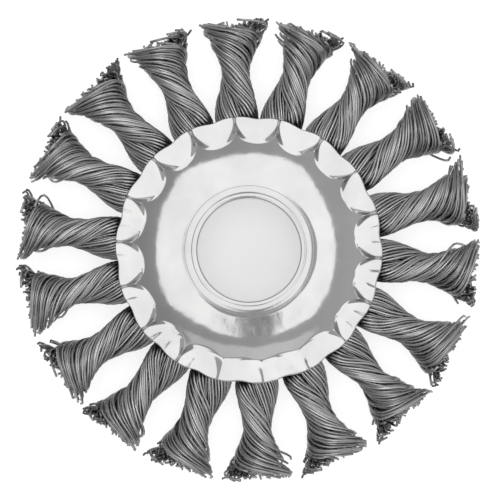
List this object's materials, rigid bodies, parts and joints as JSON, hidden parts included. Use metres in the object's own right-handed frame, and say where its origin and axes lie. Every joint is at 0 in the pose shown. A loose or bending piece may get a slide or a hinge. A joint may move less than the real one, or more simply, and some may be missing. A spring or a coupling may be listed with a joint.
{
  "type": "wire wheel brush",
  "caption": "Twist-knot wire wheel brush for an angle grinder: a stamped two-plate hub with a round arbor hole, crimped over flared knots of twisted steel wire.",
  "frame": {"origin": "middle of the arbor hole, on the middle plane between the two faces", "axes": "+Z along the arbor hole, out of the front face; +Y to the knot at the top of the picture"},
  "size_m": [0.0976, 0.0976, 0.0138],
  "materials": {
    "cover_zinc": "pressed steel sheet with bright zinc plating, soft sheen",
    "bush_steel": "turned steel tube with bright zinc plating",
    "disc_steel": "bare punched steel",
    "knot_wire": "bare drawn carbon steel wire, satin"
  },
  "bodies": {
    "root": {"arbor_bush": "bush_steel", "front_cover": "cover_zinc", "back_cover": "cover_zinc", "tuft_disc": "disc_steel", "wire_knot_01": "knot_wire", "wire_knot_02": "knot_wire", "wire_knot_03": "knot_wire", "wire_knot_04": "knot_wire", "wire_knot_05": "knot_wire", "wire_knot_06": "knot_wire", "wire_knot_07": "knot_wire", "wire_knot_08": "knot_wire", "wire_knot_09": "knot_wire", "wire_knot_10": "knot_wire", "wire_knot_11": "knot_wire", "wire_knot_12": "knot_wire", "wire_knot_13": "knot_wire", "wire_knot_14": "knot_wire", "wire_knot_15": "knot_wire", "wire_knot_16": "knot_wire", "wire_knot_17": "knot_wire", "wire_knot_18": "knot_wire"}
  },
  "joints": []
}
